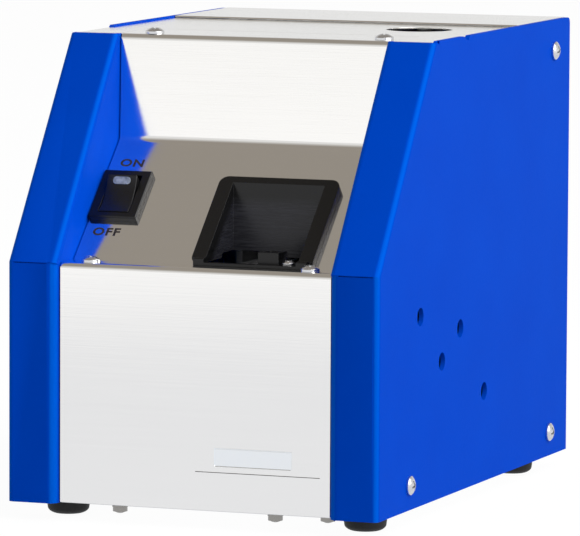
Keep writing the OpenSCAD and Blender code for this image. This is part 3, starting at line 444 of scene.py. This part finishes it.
def rounder_feet(piece):
    """Draws the lower edge of each foot further in."""
    foot_radius = 7 * MM
    flat_radius = 4.5 * MM          # the sole keeps its points within this
    rounded_height = 2.2 * MM
    drawn_in = 1.0 * MM             # at the sole, and less above it
    low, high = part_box("rubber_feet")
    middle = (low + high) / 2
    reach_x, reach_y = (high.x - low.x) / 2 - foot_radius, (high.y - low.y) / 2 - foot_radius

    def inward(at):
        centre_x = middle.x + (reach_x if at.x > middle.x else -reach_x)
        centre_y = middle.y + (reach_y if at.y > middle.y else -reach_y)
        arm = Vector((at.x - centre_x, at.y - centre_y, 0))
        if arm.length < flat_radius:
            return (0, 0, 0)
        return arm.normalized() * -drawn_in * (1 - at.z / rounded_height) ** 2

    moved(piece, lambda at: at.z < rounded_height, inward)


SHAPING = {
    "switch_body": flatter_switch_frame,
    "hopper_lid": chamfered_lid,
    "rubber_feet": rounder_feet,
    "side_cover_left": lower_front_edge,
}


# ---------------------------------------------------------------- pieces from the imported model

DOUBLE = 0.002 * MM             # points nearer than this are one
FLAT = radians(0.6)             # faces that turn less than this are one
BEND = radians(35)              # faces that turn less than this shade as one surface

# How far the edges of each piece that stands in for a node are rounded.
COVER_EDGE = 0.25 * MM
SHEET_EDGE = 0.12 * MM
BLOCK_EDGE = 0.15 * MM
SCREW_EDGE = 0.06 * MM
EDGES = {
    "side_cover_left": COVER_EDGE,
    "side_cover_right": COVER_EDGE,
    "front_cover": SHEET_EDGE,
    "deck_cover": SHEET_EDGE,
    "top_plate": SHEET_EDGE,
    "hopper_lid": SHEET_EDGE,
    "rear_panel": SHEET_EDGE,
    "base_pan": SHEET_EDGE,
    "window_bezel": 0.3 * MM,
    "bit_guide": BLOCK_EDGE,
    "window_screw": SCREW_EDGE,
    "switch_body": BLOCK_EDGE,
    "switch_rocker": 0.2 * MM,
    "switch_lens": BLOCK_EDGE,
    "rubber_feet": 0.5 * MM,
    "cover_screws": SCREW_EDGE,
    "ledge_screws": SCREW_EDGE,
    "top_screws": SCREW_EDGE,
    "base_screws": SCREW_EDGE,
    "rear_screws": SCREW_EDGE,
    "foot_screws": SCREW_EDGE,
    "power_jack": BLOCK_EDGE,
    "jack_nut": SHEET_EDGE,
}


def alone(obj):
    """Selects obj and nothing else."""
    bpy.ops.object.select_all(action="DESELECT")
    obj.select_set(True)
    bpy.context.view_layer.objects.active = obj


def apply_modifier(obj, kind, **settings):
    """Adds a modifier of this kind to obj, and makes its result the mesh."""
    alone(obj)
    modifier = obj.modifiers.new(kind.lower(), kind)
    for name, value in settings.items():
        setattr(modifier, name, value)
    bpy.ops.object.modifier_apply(modifier=modifier.name)


def finished(piece, finish):
    """Gives piece one finish all over."""
    piece.data.materials.clear()
    piece.data.materials.append(finish.material)


def dressed(node, edge):
    """Stands in for a node with joined faces, edges rounded by edge, and smooth shading over its bends."""
    piece = bpy.data.objects.new(node + "_dressed", frame["nodes"][node].data.copy())
    bpy.context.scene.collection.objects.link(piece)
    alone(piece)
    bpy.ops.object.mode_set(mode="EDIT")
    bpy.ops.mesh.select_all(action="SELECT")
    bpy.ops.mesh.remove_doubles(threshold=DOUBLE)
    bpy.ops.mesh.dissolve_limited(angle_limit=FLAT)
    bpy.ops.object.mode_set(mode="OBJECT")
    if node in SHAPING:
        SHAPING[node](piece)
    apply_modifier(piece, "BEVEL", width=edge, segments=2, limit_method="ANGLE", angle_limit=BEND,
                   miter_outer="MITER_ARC", use_clamp_overlap=True)
    alone(piece)
    bpy.ops.object.shade_smooth_by_angle(angle=BEND)
    apply_modifier(piece, "WEIGHTED_NORMAL", keep_sharp=True, weight=80)
    finished(piece, FINISHES[SLOT_OF[node]])
    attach(piece, BODY_OF[node])
    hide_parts(node)
    return piece


for name, slot in SLOT_OF.items():
    for shown in frame["nodes"][name].material_slots:
        shown.material = FINISHES[slot].material
skins = {name: dressed(name, edge) for name, edge in EDGES.items()}


# ---------------------------------------------------------------- lettering and label

INK = printed_ink()
LETTER_GAP = 1.12               # times the font's own
LETTER_WEIGHT = 0.03            # how far the strokes grow, in letters one unit high
PRINT_LIFT = 0.03 * MM          # print stands this far off the sheet

switch_low, switch_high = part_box("switch_rocker")
switch_middle = (switch_low + switch_high) / 2
panel_low, panel_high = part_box("front_cover")


def added(name, finish, place):
    """Puts the active object's mesh at its place on the housing and gives it its finish."""
    piece = bpy.context.object
    piece.name = name
    piece.data.transform(place)
    finished(piece, finish)
    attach(piece, "housing")


def surface(node, start, towards):
    """The place where a line from start meets a node's skin."""
    return skins[node].ray_cast(start, towards)[1]


def word(text, aside, rearward, width, height):
    """Print on the slope, its middle so far aside and rearward of the switch's middle."""
    bpy.ops.object.select_all(action="DESELECT")
    bpy.ops.object.text_add(location=(0, 0, 0))
    lettering = bpy.context.object
    lettering.data.body = text
    lettering.data.space_character = LETTER_GAP
    lettering.data.offset = LETTER_WEIGHT
    lettering.data.resolution_u = 4
    bpy.ops.object.convert(target="MESH")
    corners = [Vector(corner) for corner in lettering.bound_box]
    low, high = corners[0], corners[6]
    fit = Matrix.Diagonal((width / (high.x - low.x), height / (high.y - low.y), 1, 1))
    centred = fit @ Matrix.Translation(-(low + high) / 2)
    turn = Matrix((RIGHT, UP_SLOPE, OUT)).transposed().to_4x4()
    above = Vector((switch_middle.x + aside, switch_middle.y + rearward, 1))
    centre = surface("deck_cover", above, DOWN) + OUT * PRINT_LIFT
    added(f"print_{text.lower()}", INK, Matrix.Translation(centre) @ turn @ centred)


def panel_strip(name, from_right, from_foot, width, height, thickness, corner, finish):
    """A thin strip with rounded corners on the front panel, so far from the panel's right edge and foot."""
    bpy.ops.object.select_all(action="DESELECT")
    bpy.ops.mesh.primitive_cube_add(size=1, location=(0, 0, 0))
    strip = bpy.context.object
    strip.data.transform(Matrix.Diagonal((width, thickness, height, 1)))
    bpy.ops.object.mode_set(mode="EDIT")
    bpy.ops.mesh.select_all(action="DESELECT")
    bpy.ops.object.mode_set(mode="OBJECT")
    for edge in strip.data.edges:
        start, end = (strip.data.vertices[place].co for place in edge.vertices)
        edge.select = abs(start.y - end.y) > thickness / 2
    bpy.ops.object.mode_set(mode="EDIT")
    bpy.ops.mesh.select_mode(type="EDGE")
    bpy.ops.mesh.bevel(offset=corner, segments=3)
    bpy.ops.object.mode_set(mode="OBJECT")
    before = Vector((panel_high.x - from_right - width / 2, -1, panel_low.z + from_foot + height / 2))
    face = surface("front_cover", before, REARWARD)
    added(name, finish, Matrix.Translation(face - REARWARD * thickness / 2))


word("ON", aside=-0.9 * MM, rearward=11.87 * MM, width=7.9 * MM, height=3.2 * MM)
word("OFF", aside=-0.8 * MM, rearward=-9.63 * MM, width=9.1 * MM, height=3.3 * MM)
panel_strip("label", from_right=12.6 * MM, from_foot=13.9 * MM, width=25.5 * MM, height=5.8 * MM,
            thickness=0.1 * MM, corner=0.4 * MM, finish=label_foil())
panel_strip("label_line", from_right=3.3 * MM, from_foot=11.9 * MM, width=41.2 * MM, height=0.2 * MM,
            thickness=0.04 * MM, corner=0.06 * MM, finish=INK)


# ---------------------------------------------------------------- studio

WHITE = (1.0, 1.0, 1.0)
BLACK = (0.0, 0.0, 0.0)
FILL_LIGHT = (0.30, 0.30, 0.30)     # the world's light on the feeder

# What metal shows of the world, by the sine of the height above the horizon.
HORIZON = (1.0, 1.0, 1.0)
LOW_SKY = (0.762, 0.762, 0.757)
OVERHEAD = (0.300, 0.272, 0.237)
HORIZON_FADE = (0.0, 0.055)
OVERHEAD_FADE = (0.3, 0.75)

# What metal shows of the floor, by the distance from the feeder: painted shade, darker close to the feeder.
SHADED_NEAR_FLOOR = (0.765, 0.775, 0.80)
FAR_FLOOR = (1.0, 1.0, 1.0)
FLOOR_FADE = (0.55, 1.0)

SEEN_FLOOR = (0.96, 0.96, 0.96)     # the floor's own glow to the camera
PAPER = (0.5, 0.5, 0.5)
PAPER_SHADE = (0.06, 0.06, 0.06)    # the share of the seen floor that takes a shadow


def area_lamp(name, towards, distance, size, watts):
    """A square soft lamp in the direction towards, seen from the feeder, that shines at it."""
    lamp = bpy.data.lights.new(name, "AREA")
    lamp.shape = "SQUARE"
    lamp.size = size
    lamp.energy = watts
    holder = bpy.data.objects.new(name, lamp)
    bpy.context.scene.collection.objects.link(holder)
    direction = Vector(towards).normalized()
    holder.location = (cad_box[0] + cad_box[1]) / 2 + direction * distance
    holder.rotation_euler = direction.to_track_quat("Z", "Y").to_euler()


def studio_world():
    """White behind the feeder, a soft even light on it, and in its metal pale low down and dull overhead."""
    world = bpy.data.worlds.new("studio")
    bpy.context.scene.world = world
    world.use_nodes = True
    sky = Nodes(world.node_tree)
    height = sky.part(sky.node("ShaderNodeTexCoord", output="Generated"), "Z")
    low = sky.blend(height.ramp(*HORIZON_FADE), HORIZON, LOW_SKY)
    mirrored = sky.blend(height.ramp(*OVERHEAD_FADE), low, OVERHEAD)
    unseen = sky.blend(sky.ray("Glossy"), FILL_LIGHT, mirrored)
    sky.fill(sky.tree.nodes["Background"], {"Color": sky.blend(sky.ray("Camera"), unseen, WHITE)})


def studio_floor():
    """Paper that looks white with a faint shadow, and in metal a little darker close to the feeder, as
    painted shade.
    """
    bpy.ops.mesh.primitive_plane_add(size=12, location=(0, 0, 0))
    floor = bpy.context.object
    floor.name = "floor"
    paper = Finish("floor_paper", Roughness=0.9, Specular_IOR_Level=0.0, Emission_Strength=1.0)
    away = paper.node("ShaderNodeVectorMath", {"operation": "LENGTH"}, {0: paper.place}, output="Value")
    # painted shade in the floor that metal mirrors: darker near the feeder
    mirrored = paper.blend(away.ramp(*FLOOR_FADE), SHADED_NEAR_FLOOR, FAR_FLOOR)
    glow = paper.blend(paper.ray("Glossy"), BLACK, mirrored)
    paper.set(Emission_Color=paper.blend(paper.ray("Camera"), glow, SEEN_FLOOR))
    direct = paper.math("MAXIMUM", paper.ray("Camera"), paper.ray("Glossy"))
    paper.set(Base_Color=paper.blend(direct, PAPER, PAPER_SHADE))
    floor.data.materials.append(paper.material)


def studio_camera():
    """A long lens, a little to the right of the front and a little above it."""
    azimuth, elevation, roll = radians(20.69), radians(5.95), radians(0.28)
    distance = 1.96
    aim = Vector((-4.3, 5.2, 72.0)) * MM
    camera = bpy.data.cameras.new("camera")
    camera.lens = 376.4
    camera.sensor_width = 36
    holder = bpy.data.objects.new("camera", camera)
    bpy.context.scene.collection.objects.link(holder)
    back = Vector((sin(azimuth) * cos(elevation), -cos(azimuth) * cos(elevation), sin(elevation)))
    right = Vector((cos(azimuth), sin(azimuth), 0))
    up = back.cross(right)
    rolled_right = right * cos(roll) + up * sin(roll)
    rolled_up = up * cos(roll) - right * sin(roll)
    basis = Matrix((rolled_right, rolled_up, back)).transposed().to_4x4()
    holder.matrix_world = Matrix.Translation(aim + back * distance) @ basis
    bpy.context.scene.camera = holder


studio_world()
studio_floor()
studio_camera()
area_lamp("key", towards=(0.61, -0.187, 0.486), distance=1.8, size=2.0, watts=34.5)
bpy.context.scene.view_settings.view_transform = "Standard"
